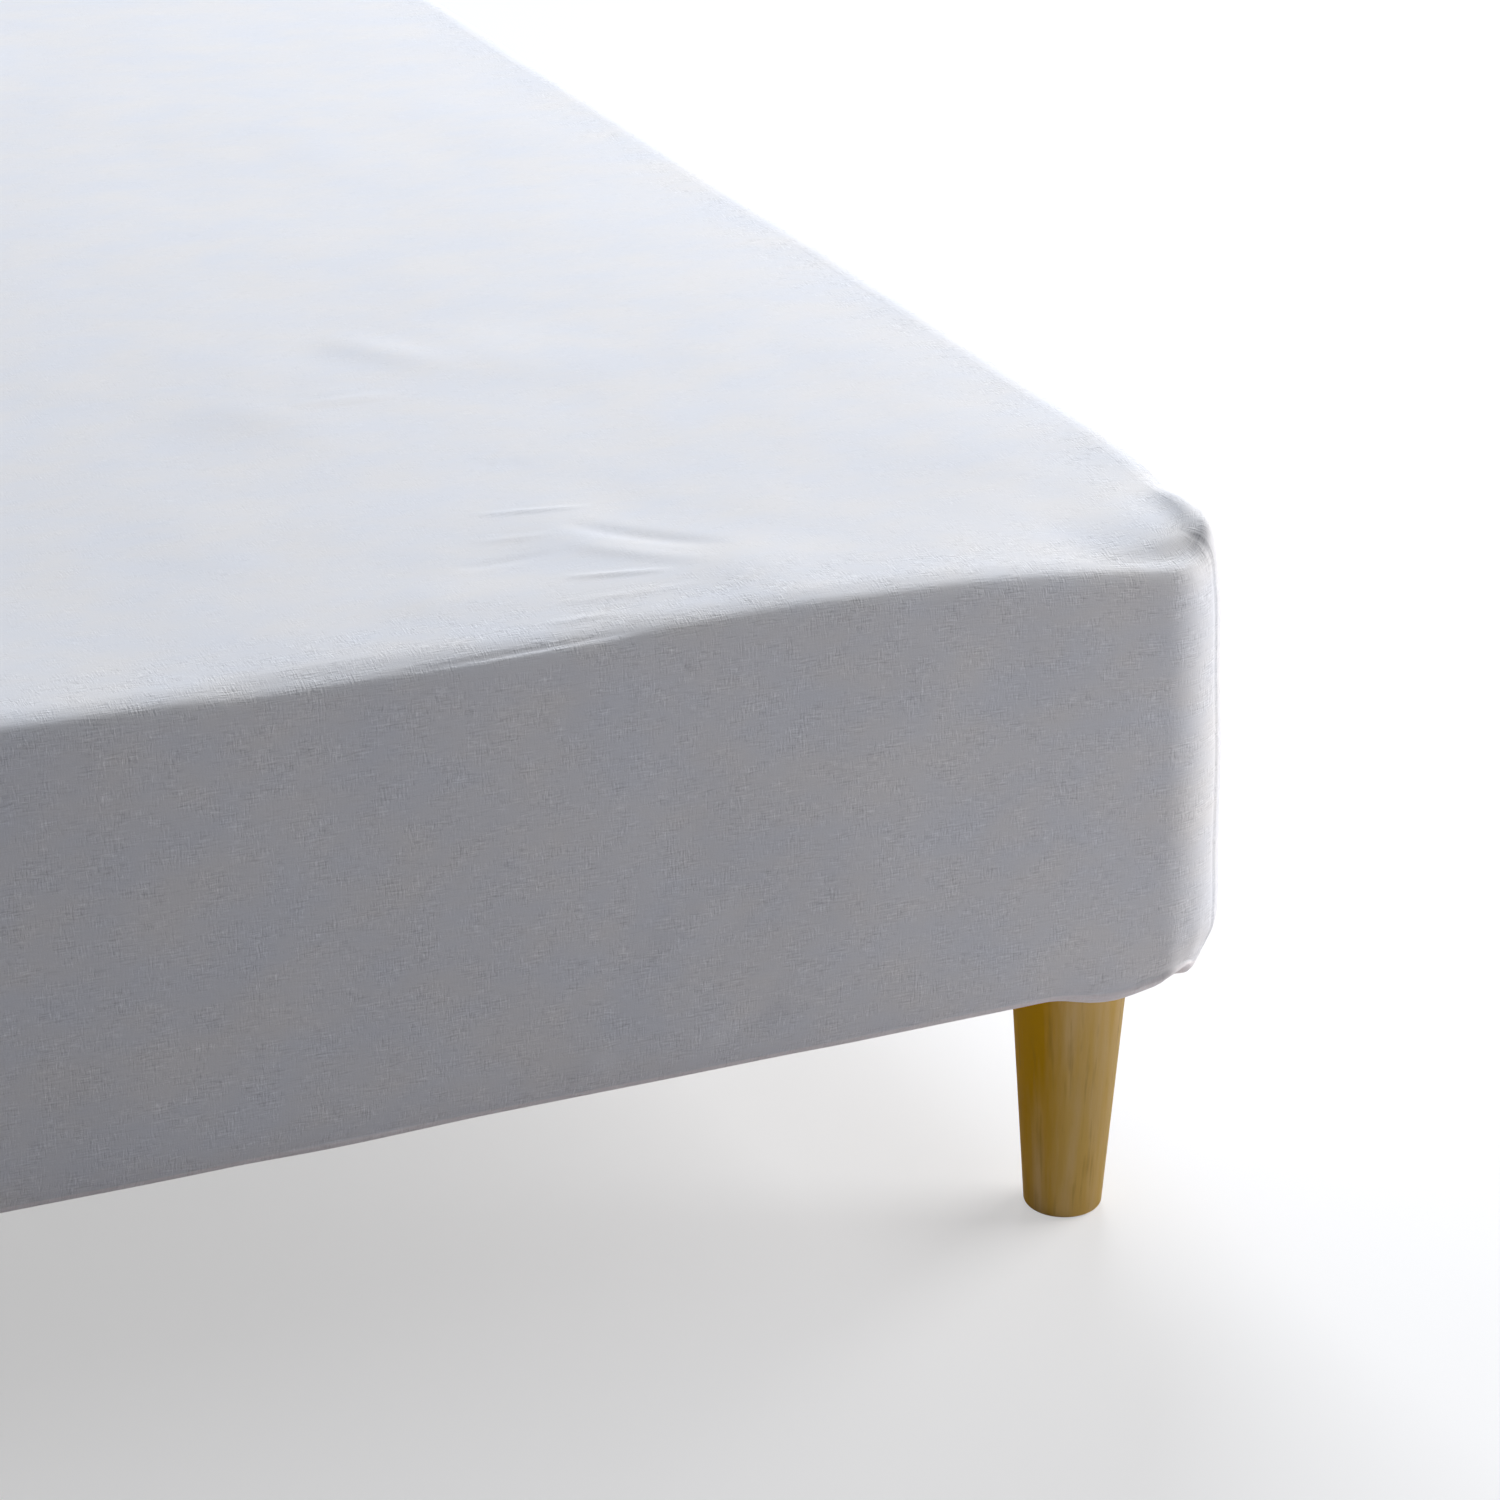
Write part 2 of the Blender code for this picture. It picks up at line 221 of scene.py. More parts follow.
streaks = bpy.data.node_groups.new("streaks", "ShaderNodeTree")
streaks.interface.new_socket("Place", in_out="INPUT", socket_type="NodeSocketVector")
streaks.interface.new_socket("Sizes", in_out="INPUT", socket_type="NodeSocketVector")
streaks.interface.new_socket("Detail", in_out="INPUT", socket_type="NodeSocketFloat")
streaks.interface.new_socket("Value", in_out="OUTPUT", socket_type="NodeSocketFloat")
given = node(streaks, "NodeGroupInput")
scaled = node(streaks, "ShaderNodeVectorMath", operation="DIVIDE")
noise = node(streaks, "ShaderNodeTexNoise", Scale=1.0, Roughness=0.55)
streaks.links.new(given.outputs["Place"], scaled.inputs[0])
streaks.links.new(given.outputs["Sizes"], scaled.inputs[1])
streaks.links.new(scaled.outputs[0], noise.inputs["Vector"])
streaks.links.new(given.outputs["Detail"], noise.inputs["Detail"])
streaks.links.new(noise.outputs[0], node(streaks, "NodeGroupOutput").inputs["Value"])


def grain(tree, place, sizes, detail=2.0):
    """Noise in streaks: its grain's three sizes are those given."""
    made = tree.nodes.new("ShaderNodeGroup")
    made.node_tree = streaks
    made.inputs["Sizes"].default_value = sizes
    made.inputs["Detail"].default_value = detail
    tree.links.new(place, made.inputs["Place"])
    return made.outputs["Value"]


def remapped(tree, value, low, high, to_low=0.0, to_high=1.0):
    """The value carried from low..high to to_low..to_high, clipped."""
    made = node(tree, "ShaderNodeMapRange", From_Min=low, From_Max=high,
                To_Min=to_low, To_Max=to_high)
    tree.links.new(value, made.inputs["Value"])
    return made.outputs["Result"]


def mixed(tree, share, first, second):
    """A colour mix by a share's socket; first and second are each a colour or a socket."""
    made = node(tree, "ShaderNodeMix", data_type="RGBA")
    tree.links.new(share, made.inputs[0])
    for socket, colour in ((made.inputs[6], first), (made.inputs[7], second)):
        if isinstance(colour, tuple):
            socket.default_value = colour + (1.0,)
        else:
            tree.links.new(colour, socket)
    return made.outputs[2]


def sums(tree, operation, *values):
    """What the operation makes of two or three values, each a number or a socket."""
    made = node(tree, "ShaderNodeMath", operation=operation)
    for socket, value in zip(made.inputs, values):
        if isinstance(value, float):
            socket.default_value = value
        else:
            tree.links.new(value, socket)
    return made.outputs[0]


wood = bpy.data.materials.new("natural_wood")
tree = empty_tree(wood)
place = node(tree, "ShaderNodeTexCoord").outputs["Object"]
bands = grain(tree, place, (BAND_WIDTH, BAND_WIDTH, BAND_LENGTH), 3.0)
lines = grain(tree, place, (LINE_WIDTH, LINE_WIDTH, LINE_LENGTH))
pores = grain(tree, place, (PORE_WIDTH, PORE_WIDTH, PORE_LENGTH))
colour = mixed(tree, remapped(tree, bands, 0.36, 0.64), WOOD_MID, WOOD_PALE)
# Painted shade: the side of each leg towards the middle of the bed is browner and darker, with a
# wavering edge.
sideways = node(tree, "ShaderNodeSeparateXYZ")
tree.links.new(place, sideways.inputs[0])
from_middle = sums(tree, "ABSOLUTE", sideways.outputs["X"])
waver = remapped(tree, bands, 0.3, 0.7, -PAINTED_SHADE_WAVER, PAINTED_SHADE_WAVER)
from_middle = sums(tree, "ADD", from_middle, waver)
colour = mixed(tree, remapped(tree, from_middle, PAINTED_SHADE_FROM, PAINTED_SHADE_TO), WOOD_PAINTED_SHADE, colour)
colour = mixed(tree, remapped(tree, lines, 0.58, 0.76, 0.0, LINE_SHADE), colour, WOOD_DARK)
colour = mixed(tree, remapped(tree, pores, 0.58, 0.80, 0.0, PORE_SHADE), colour, WOOD_DARK)
lacquer = node(tree, "ShaderNodeBsdfPrincipled", Specular_IOR_Level=0.06)
relief = node(tree, "ShaderNodeBump", Strength=0.25, Distance=0.0004)
tree.links.new(colour, lacquer.inputs["Base Color"])
tree.links.new(remapped(tree, bands, 0.3, 0.7, 0.50, 0.60), lacquer.inputs["Roughness"])
tree.links.new(pores, relief.inputs["Height"])
tree.links.new(relief.outputs[0], lacquer.inputs["Normal"])
tree.links.new(lacquer.outputs[0], node(tree, "ShaderNodeOutputMaterial").inputs[0])

flagged = bpy.data.collections.new("flagged")
for end in ("front", "back"):
    for side in ("left", "right"):
        rings = leg_rings(*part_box(f"leg_{end}_{side}"))
        leg = surface(f"turned_leg_{end}_{side}", rings.reshape(-1, 3),
                      tube_faces(len(rings), LEG_SIDES), wood)
        leg.data.set_sharp_from_angle(angle=SHARP_EDGE)
        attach(leg, "root")
        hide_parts(f"leg_{end}_{side}")
        flagged.objects.link(leg)
windows["window_flagged"].light_linking.receiver_collection = flagged
for kept_off in flagged.collection_objects:
    kept_off.light_linking.link_state = "EXCLUDE"

# -------------------------------------------------------------------- mattress
# The mattress under the sheet: a soft-edged block in a knitted cover, with the bead of
# its edge tape round the top, and a flat base of plain cloth that the legs are fixed to.
BODY_HEIGHT = 0.2405
BASE_DOWN = 0.2394
FACE_OUT = 0.0215
CORNER_TURN = 0.0325
HALF_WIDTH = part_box("fitted_sheet")[1].x
HALF_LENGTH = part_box("fitted_sheet")[1].y
TOP_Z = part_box("mattress")[0].z + BASE_DOWN
RIM_X, RIM_Y = HALF_WIDTH - FACE_OUT, HALF_LENGTH - FACE_OUT
CROWN = 0.004
KNIT_GRAIN = 0.0016
KNIT_DARK = (0.72, 0.71, 0.68)
KNIT_PALE = (0.84, 0.83, 0.80)

# The section of the edge, out from the rim and down from the top: the bead, the face,
# and the turn under.
MATTRESS_SECTION = (
    # out     down    pieces to the next row
    (0.0000, 0.0026, 3),
    (0.0045, 0.0048, 3),
    (0.0116, 0.0073, 2),
    (0.0149, 0.0103, 2),
    (0.0142, 0.0148, 3),
    (0.0150, 0.0240, 3),
    (0.0174, 0.0700, 3),
    (0.0189, 0.1250, 3),
    (0.0184, 0.1800, 2),
    (0.0170, 0.2030, 3),
    (0.0150, 0.2200, 3),
    (0.0095, 0.2330, 3),
    (0.0005, BASE_DOWN, 0),
)

# How far the sheet pulls each corner of the top down, and how far that reaches. A corner
# also comes in by DRAW_IN of its drop, and the mattress drops UNDER_CLOTH times as far.
CORNER_PULLS = (
    # side_x side_y drop  reach_x reach_y
    (+1, -1, 0.029, 0.27, 0.18),
    (-1, -1, 0.023, 0.24, 0.19),
    (+1, +1, 0.024, 0.22, 0.20),
    (-1, +1, 0.025, 0.25, 0.17),
)
DRAW_IN = 0.15
UNDER_CLOTH = 1.03

# Grid lines of the panel: steps in a corner square, and the stretches between the
# squares, each with its end and its steps.
CORNER_STEPS = 16
MATTRESS_LINES_X = ((RIM_X - CORNER_TURN, 30),)
MATTRESS_LINES_Y = ((RIM_Y - CORNER_TURN, 56),)


def ease(value):
    """Ease from 0 to 1 with level ends: 3 v^2 - 2 v^3, clipped outside 0 to 1."""
    value = np.clip(value, 0.0, 1.0)
    return value * value * (3.0 - 2.0 * value)


def section_curve(table):
    """The rows of the edge's section, smoothed: (running length, its columns).

    A cubic Hermite curve through the table's rows against their running length, with
    slopes from the neighbouring rows. The third column of the table counts the pieces
    up to the next row, and isn't carried on.
    """
    table = np.array(table, float)
    pieces = table[:-1, 2].astype(int)
    values = np.delete(table, 2, axis=1)
    run = np.append(0.0, np.cumsum(np.hypot(*np.diff(values[:, :2], axis=0).T)))
    slopes = np.gradient(values, run, axis=0)
    at = [np.linspace(run[k], run[k + 1], n, endpoint=False) for k, n in enumerate(pieces)]
    at = np.append(np.concatenate(at), run[-1])
    k = np.clip(np.searchsorted(run, at, side="right") - 1, 0, len(run) - 2)
    length = (run[k + 1] - run[k])[:, None]
    v = (at - run[k])[:, None] / length
    curve = (1.0 + 2.0 * v) * (1.0 - v) ** 2 * values[k]
    curve += v ** 2 * (3.0 - 2.0 * v) * values[k + 1]
    curve += v * (1.0 - v) * length * ((1.0 - v) * slopes[k] - v * slopes[k + 1])
    return at, curve


def grid_lines(half, stretches):
    """Grid lines of the panel from -half to half.

    The lines of a corner square lie closer towards its outer side, as share^1.5. Between
    the squares each stretch runs on to its own end in its own number of steps.
    """
    corner = CORNER_TURN * np.linspace(0.0, 1.0, CORNER_STEPS + 1) ** 1.5 - half
    lines, start = [corner], corner[-1]
    for end, steps in stretches:
        lines.append(np.linspace(start, end, steps + 1)[1:])
        start = end
    lines.append(-corner[::-1][1:])
    return np.concatenate(lines)


def corner_share(s, t):
    """How far a panel point lies into a corner square, 0 to 1 along each side."""
    u = np.clip((np.abs(s) - RIM_X) / CORNER_TURN + 1.0, 0.0, 1.0)
    v = np.clip((np.abs(t) - RIM_Y) / CORNER_TURN + 1.0, 0.0, 1.0)
    return u, v


def round_plan(s, t):
    """Carry a point of the square-cornered panel to the round-cornered top of the bed.

    In a corner square (u, v) goes to (u sqrt(1 - v^2 / 2), v sqrt(1 - u^2 / 2)), which
    bends its two outer sides into one quarter circle with the seam at its middle.
    """
    u, v = corner_share(s, t)
    x = np.abs(s) + CORNER_TURN * u * (np.sqrt(1.0 - v * v / 2.0) - 1.0)
    y = np.abs(t) + CORNER_TURN * v * (np.sqrt(1.0 - u * u / 2.0) - 1.0)
    return np.sign(s) * x, np.sign(t) * y


def corner_drop(x, y):
    """Drop of the corners: each falls off as (1 - distance / reach)^2 both ways."""
    total = np.zeros_like(x)
    for side_x, side_y, drop, reach_x, reach_y in CORNER_PULLS:
        near_x = np.clip(1.0 - (HALF_WIDTH - side_x * x) / reach_x, 0.0, 1.0)
        near_y = np.clip(1.0 - (HALF_LENGTH - side_y * y) / reach_y, 0.0, 1.0)
        total += drop * near_x ** 2 * near_y ** 2
    return total


def top_points(s, t, down, share):
    """The top of the bed: a low crown, less share of the corners' drop, at a depth."""
    x, y = round_plan(s, t)
    drop = corner_drop(x, y) * share
    crown = CROWN * (1.0 - (x / RIM_X) ** 2) * (1.0 - (y / RIM_Y) ** 2)
    z = TOP_Z - down - drop + np.maximum(crown, 0.0)
    return x - np.sign(x) * DRAW_IN * drop, y - np.sign(y) * DRAW_IN * drop, z


def walk_round(across, along):
    """Grid indices of the panel's edge, anticlockwise from above."""
    wide, long = len(across) - 1, len(along) - 1
    i, j = np.arange(wide), np.arange(long)
    return (np.concatenate((i, np.full(long, wide), wide - i, np.zeros(long, int))),
            np.concatenate((np.zeros(wide, int), j, np.full(wide, long), long - j)))


def edge_points(s, t, out, down, share):
    """Points out from the rim and down from the top, over the columns round the edge.

    A column stands at its rim point and leaves it squarely, fanning out round a corner.
    The corners' drop fades down the face as (1 - down / body height)^2.
    """
    x, y = round_plan(s, t)
    away_x = x - np.clip(x, CORNER_TURN - RIM_X, RIM_X - CORNER_TURN)
    away_y = y - np.clip(y, CORNER_TURN - RIM_Y, RIM_Y - CORNER_TURN)
    away = np.hypot(away_x, away_y)
    drop = corner_drop(x, y) * share * np.clip(1.0 - down / BODY_HEIGHT, 0.0, 1.0) ** 2
    x = x + out * away_x / away
    y = y + out * away_y / away
    return x - np.sign(x) * DRAW_IN * drop, y - np.sign(y) * DRAW_IN * drop, TOP_Z - down - drop


def sheeted(top, skirt, walk):
    """Points and quads of a top grid with a skirt hung from its edge, and the last ring.

    Quads of the top come first, row by row, and then those of the skirt, ring by ring.
    """
    index = np.arange(top[0].size).reshape(top[0].shape)
    columns = len(walk[0])
    rings = top[0].size + columns * np.arange(len(skirt[0]) - 1)[:, None] + np.arange(columns)
    rings = np.concatenate((index[walk[1], walk[0]][None], rings))
    points = np.stack(top, axis=-1)
    points[walk[1], walk[0]] = np.stack(skirt, axis=-1)[0]
    points = np.concatenate((points.reshape(-1, 3), np.stack(skirt, axis=-1)[1:].reshape(-1, 3)))
    over = np.stack((index[:-1, :-1], index[:-1, 1:], index[1:, 1:], index[1:, :-1]), axis=-1)
    low, high = rings[1:], rings[:-1]
    round_it = np.stack((low, np.roll(low, -1, 1), np.roll(high, -1, 1), high), axis=-1)
    return points, np.concatenate((over.reshape(-1, 4), round_it.reshape(-1, 4))), rings[-1]


cover = bpy.data.materials.new("mattress_cover")
tree = empty_tree(cover)
place = node(tree, "ShaderNodeTexCoord").outputs["Object"]
knit = grain(tree, place, (KNIT_GRAIN, KNIT_GRAIN, KNIT_GRAIN))
knitted = node(tree, "ShaderNodeBsdfPrincipled", Sheen_Weight=0.1)
relief = node(tree, "ShaderNodeBump", Strength=0.4, Distance=0.0006)
tree.links.new(mixed(tree, knit, KNIT_DARK, KNIT_PALE), knitted.inputs["Base Color"])
tree.links.new(remapped(tree, knit, 0.3, 0.7, 0.85, 0.95), knitted.inputs["Roughness"])
tree.links.new(knit, relief.inputs["Height"])
tree.links.new(relief.outputs[0], knitted.inputs["Normal"])
tree.links.new(knitted.outputs[0], node(tree, "ShaderNodeOutputMaterial").inputs[0])

across, along = grid_lines(RIM_X, MATTRESS_LINES_X), grid_lines(RIM_Y, MATTRESS_LINES_Y)
s, t = np.meshgrid(across, along)
walk = walk_round(across, along)
out, down = section_curve(MATTRESS_SECTION)[1].T[:, :, None]
points, quads, base_edge = sheeted(
    top_points(s, t, down[0, 0], UNDER_CLOTH),
    edge_points(across[walk[0]], along[walk[1]], out, down, UNDER_CLOTH), walk)
mattress = surface("mattress_body", points, quads.tolist() + [base_edge[::-1].tolist()], cover)
mattress.data.set_sharp_from_angle(angle=SHARP_EDGE)
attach(mattress, "root")
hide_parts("mattress")

# ----------------------------------------------------------------------- sheet
# The fitted sheet: one panel of white cotton, a plain weave with slubs, with a square
# cut out of each corner. The cuts are sewn up into the corner seams, and the hem is
# turned over an elastic that draws the skirt in under the mattress, outside the legs.

# The section of the edge, with how much of the corner's tuck, the hem's hang and the
# seam's pucker each row takes, and how far the bead carries it. The bead is a slight roll
# of cloth along the edge: whole by the corners, it comes and goes between them.
SHEET_SECTION = (
    # out     down    pieces tuck hang seam bead_out bead_down
    (0.0000, 0.0000, 3, 0.00, 0.0, 0.0, 0.0000, 0.0000),
    (0.0045, 0.0003, 3, 0.10, 0.0, 0.2, 0.0000, 0.0009),
    (0.0090, 0.0012, 3, 0.15, 0.0, 0.5, 0.0000, 0.0012),
    (0.0124, 0.0023, 3, 0.20, 0.0, 0.8, 0.0000, 0.0006),
    (0.0152, 0.0041, 3, 0.26, 0.0, 0.9, 0.0002, 0.0000),
    (0.0174, 0.0073, 3, 0.30, 0.0, 0.8, 0.0003, -0.0003),
    (0.0184, 0.0117, 3, 0.29, 0.0, 0.6, 0.0003, -0.0003),
    (0.0189, 0.0180, 3, 0.22, 0.0, 0.4, 0.0000, 0.0000),
    (0.0191, 0.0260, 7, 0.12, 0.0, 0.2, 0.0000, 0.0000),
    (0.0200, 0.0700, 9, 0.10, 0.0, 0.1, 0.0000, 0.0000),
    (0.0215, 0.1250, 9, 0.10, 0.0, 0.0, 0.0000, 0.0000),
    (0.0212, 0.1800, 4, 0.00, 0.0, 0.0, 0.0000, 0.0000),
    (0.0212, 0.2050, 5, -0.10, 0.1, 0.0, 0.0000, 0.0000),
    (0.0204, 0.2220, 5, 0.00, 0.3, 0.1, 0.0000, 0.0000),
    (0.0187, 0.2310, 8, 0.42, 0.6, 0.2, 0.0000, 0.0000),
    (0.0165, 0.2360, 5, 0.80, 0.8, 0.3, 0.0000, 0.0000),
    (0.0075, BODY_HEIGHT, 0, 0.75, 1.0, 0.3, 0.0000, 0.0000),
)
BEAD_FULL = 0.020
BEAD_GONE = 0.095
BEAD_ELSEWHERE = 0.45
WANDER_GRAIN = 0.09
WANDER_APART = 1.7
WANDER_SEED = 31
LINES_X = ((-0.05, 24), (0.06, 14), (0.25, 44), (RIM_X - CORNER_TURN, 34))
LINES_Y = ((-0.78, 62), (-0.60, 34), (-0.45, 20), (RIM_Y - CORNER_TURN, 68))
UNDER_STEPS = 7

# Hem: its reach in under the bed beside a leg and between the legs, its hang in front of
# a leg, its ruching, and the ledge where the cloth becomes double. It is turned in rows,
# each a share of its width outwards and of its thickness up.
LEG_X, LEG_Y = 0.414, 0.911
HEM_REACH = 0.050
HEM_REACH_AT_LEG = 0.030
HEM_LEG_ZONE = 0.050
HEM_EASE = 0.070
HEM_HANG = 0.0065
HEM_HANG_X, HEM_HANG_Y = 0.4065, 0.9035
HEM_HANG_WIDTH = 0.038
HEM_WIDTH = 0.012
HEM_THICK = 0.0012
HEM_TURN = ((-0.05, 0.5), (0.0, 1.0), (0.5, 1.0), (1.0, 1.0))
HEM_RUCHE = 0.0009
HEM_RUCHE_LENGTH = 0.030
HEM_RUCHE_FROM = 0.5
HEM_RUCHE_SEED = 40
HEM_LEDGE_DOWN = 0.2330
HEM_LEDGE = 0.0009
HEM_PROUD = 0.0023
HEM_FLAT_AT_CORNER = 0.8
HEM_PROUD_ELSEWHERE = 0.5

# Corners: the drawn-in foot, which sets in sooner on the side than on the end, its raised
# hem, its gathers and its nub, and the seam with its pucker and its allowance.
TUCK = 0.006
TUCK_SOONER_SIDE = 1.6
TUCK_SOONER_END = 1.2
HEM_RAISED = 0.0030
HEM_RAISED_SHARE = 0.25
GATHER = 0.0005
GATHER_WAVES = 2.5
GATHER_FROM = 0.185
NUB_OUT = 0.0012
NUB_DOWN = 0.0085
NUB_HALF = 0.0085
NUB_FROM, NUB_TO = 0.226, 0.239
NUB_ASIDE = 0.0060
PUCKER_UP = 0.0010
PUCKER_OUT = 0.0008
PUCKER_SHARE_SIDE = 0.6
PUCKER_SHARE_END = 0.3
SEAM_ASIDE = 0.0018
SEAM_GROOVE = 0.0003
SEAM_GROOVE_HALF = 0.0012
SEAM_ALLOWANCE = 0.0004
SEAM_ALLOWANCE_WIDTH = 0.018
SEAM_SPREAD = 0.042
SEAM_STEEP = 0.5

# At each corner the cloth is held up behind the edge of the end, and a small pinch of it
# stands up where the seam starts. Both lines are in the corner's own directions. The
# crest of the pinch runs along the side's edge, steeper towards the middle of the bed.
HELD_UP = (
    # side_x side_y x0   y0     x1     y1    front  behind height
    (+1, -1, 0.3900, 0.951, 0.4720, 0.943, 0.0115, 0.0360, 0.0075),
    (-1, -1, 0.4050, 0.944, 0.4680, 0.938, 0.0140, 0.0260, 0.0036),
    (+1, +1, 0.4000, 0.943, 0.4680, 0.938, 0.0140, 0.0270, 0.0040),
    (-1, +1, 0.3950, 0.944, 0.4680, 0.937, 0.0150, 0.0280, 0.0042),
)
HELD_UP_RISE = 0.9
HELD_UP_FALL = 0.016
PINCHES = (
    # side_x side_y x0   y0     x1     y1    inner  outer  height
    (+1, -1, 0.4714, 0.880, 0.4672, 0.9390, 0.0100, 0.0150, 0.0046),
    (-1, -1, 0.4690, 0.914, 0.4635, 0.9470, 0.0040, 0.0150, 0.0024),
    (+1, +1, 0.4700, 0.908, 0.4640, 0.9470, 0.0036, 0.0170, 0.0028),
    (-1, +1, 0.4695, 0.906, 0.4635, 0.9465, 0.0036, 0.0160, 0.0030),
)
PINCH_RISE = 0.6
PINCH_FALL = 0.020

# The top's soft folds, and its creases. A fold or crease is a bell across its line; a
# fold fades out past its ends, and a crease rises and falls along it, bowed sideways.
FOLDS = (
    # x0      y0      x1      y1    half_width height
    (-0.030, -0.985, 0.135, -0.985, 0.025, -0.0030),
    (0.170, -0.850, 0.240, -0.915, 0.030, 0.0012),
    (0.080, -0.905, 0.215, -0.925, 0.026, 0.0010),
    (0.090, -0.620, 0.215, -0.570, 0.040, 0.0018),
    (-0.330, -0.700, -0.200, -0.880, 0.050, 0.0018),
    (-0.350, 0.620, -0.180, 0.820, 0.055, 0.0020),
    (0.360, 0.500, 0.230, 0.780, 0.050, 0.0018),
)
CREASES = (
    # x0      y0      x1      y1    half_width height  bow
    (0.103, -0.618, 0.160, -0.621, 0.0026, 0.00087, 0.001),
    (0.110, -0.605, 0.150, -0.607, 0.0030, 0.00043, 0.001),
    (0.155, -0.510, 0.208, -0.595, 0.0170, 0.00102, 0.004),
    (0.134, -0.804, 0.191, -0.815, 0.0020, 0.00102, 0.001),
    (0.168, -0.832, 0.232, -0.893, 0.0066, -0.00116, 0.004),
    (0.160, -0.858, 0.218, -0.910, 0.0070, 0.00072, 0.003),
    (0.142, -0.900, 0.194, -0.912, 0.0020, 0.00130, 0.001),
    (0.124, -0.929, 0.200, -0.933, 0.0026, 0.00058, 0.001),
    (0.112, -0.950, 0.154, -0.950, 0.0028, 0.00072, 0.000),
    (0.120, -0.840, 0.160, -0.846, 0.0030, 0.00043, 0.000),
    (0.100, -0.870, 0.150, -0.868, 0.0040, -0.00058, 0.001),
    (0.158, -0.735, 0.170, -0.739, 0.0020, -0.00043, 0.000),
    (0.172, -0.741, 0.184, -0.745, 0.0020, -0.00043, 0.000),
    (0.030, -0.9690, 0.155, -0.9655, 0.0016, -0.00102, 0.000),
)

# The faces are numbered in this order. Each takes its unevenness from its own stretch of
# the lattice, FACE_APART from the next one's.
FACES = ("foot", "right", "head", "left")
FACE_APART = 2.0
FACE_SEED = 20
FACE_CREASES = (
    # face   a0     z0     a1     z1     half_width height
    ("foot", 0.155, 0.226, 0.197, 0.240, 0.0045, 0.0008),
    ("foot", 0.185, 0.170, 0.225, 0.182, 0.0045, -0.0011),
    ("foot", 0.112, 0.166, 0.135, 0.172, 0.0045, 0.0007),
)

# Soft unevenness all over, drawn on square lattices of several grains.
MOTTLES = (
    # grain  height seed
    (0.034, 0.00016, 3),
    (0.085, 0.00045, 5),
    (0.210, 0.00110, 8),
)
LATTICE = 64

# The cloth's white, cool or warm in patches, with painted light that makes the doubled hem
# lighter and warmer, and its slubs, of a thicker or thinner yarn, painted fainter over the
# top, where strong light washes them out. A grain is its size across the bed and along it.
# A yarn's slubs begin and are full at two distances of their noise from its middle, and
# have a strength.
WHITE_COOL = (0.80, 0.815, 0.85)
WHITE_WARM = (0.84, 0.83, 0.825)
WHITE_HEM_PAINTED_LIGHT = (0.98, 0.93, 0.925)
CLOUD_GRAIN = (0.060, 0.040, 1.0)
PATCH_GRAIN = (0.016, 0.012, 1.0)
SLUB_LENGTH = 0.0072
SLUB_WIDTH = 0.0010
WEFT_GRAIN = (SLUB_LENGTH, SLUB_WIDTH, 1.0)
WARP_GRAIN = (SLUB_WIDTH, SLUB_LENGTH * 0.7, 1.0)
LONG_GRAIN = (SLUB_LENGTH * 2.2, SLUB_WIDTH * 1.5, 1.0)
YARN_GRAIN = (0.00096, 0.00072, 1.0)
WEFT_SLUBS = (0.04, 0.26, 1.0)
WARP_SLUBS = (0.05, 0.28, 0.8)
YARN_STRENGTH = 0.5
LONG_STRENGTH = 0.30
SLUB_CONTRAST = 0.13
# How faint the slubs are painted on the top, standing in for its strong light, and how near its
# edge they come back.
SHOWS_ON_TOP = 0.30
SHOWS_EDGE = 0.050


def mottle(a, b, size, seed):
    """Soft random unevenness: seeded heights on a square lattice, eased between."""
    lattice = np.random.default_rng(seed).uniform(-1.0, 1.0, (LATTICE, LATTICE))
    i, j = np.floor(a / size).astype(int), np.floor(b / size).astype(int)
    u, v = ease(a / size - i), ease(b / size - j)
    i, j, next_i, next_j = i % LATTICE, j % LATTICE, (i + 1) % LATTICE, (j + 1) % LATTICE
    near = lattice[i, j] * (1.0 - u) + lattice[next_i, j] * u
    far = lattice[i, next_j] * (1.0 - u) + lattice[next_i, next_j] * u
    return near * (1.0 - v) + far * v


def line_places(a, b, a0, b0, a1, b1):
    """Place along a line, 0 to 1 from end to end, distance to its right, and length."""
    length = math.hypot(a1 - a0, b1 - b0)
    toward = ((a1 - a0) / length, (b1 - b0) / length)
    run = ((a - a0) * toward[0] + (b - b0) * toward[1]) / length
    return run, (a - a0) * toward[1] - (b - b0) * toward[0], length


def crease(a, b, a0, b0, a1, b1, half_width, height, bow=0.0):
    """A ridge, height * swell * exp(-(side / half_width)^2), with swell = 4 run (1 - run)."""
    run, side, _ = line_places(a, b, a0, b0, a1, b1)
    swell = np.clip(4.0 * run * (1.0 - run), 0.0, 1.0)
    return height * swell * np.exp(-((side - bow * swell) / half_width) ** 2)


def corner_ridge(x, y, rise, fall, side_x, side_y, x0, y0, x1, y1, left, right, height):
    """A ridge at one corner, in its own directions, with a width for each of its sides.

    It rises from its start over a share of its length, and falls away past its end.
    """
    run, side, length = line_places(side_x * x, side_y * y, x0, y0, x1, y1)
    swell = ease(run / rise) * ease(1.0 - (run - 1.0) * length / fall)
    return height * swell * np.exp(-(side / np.where(side > 0.0, right, left)) ** 2)


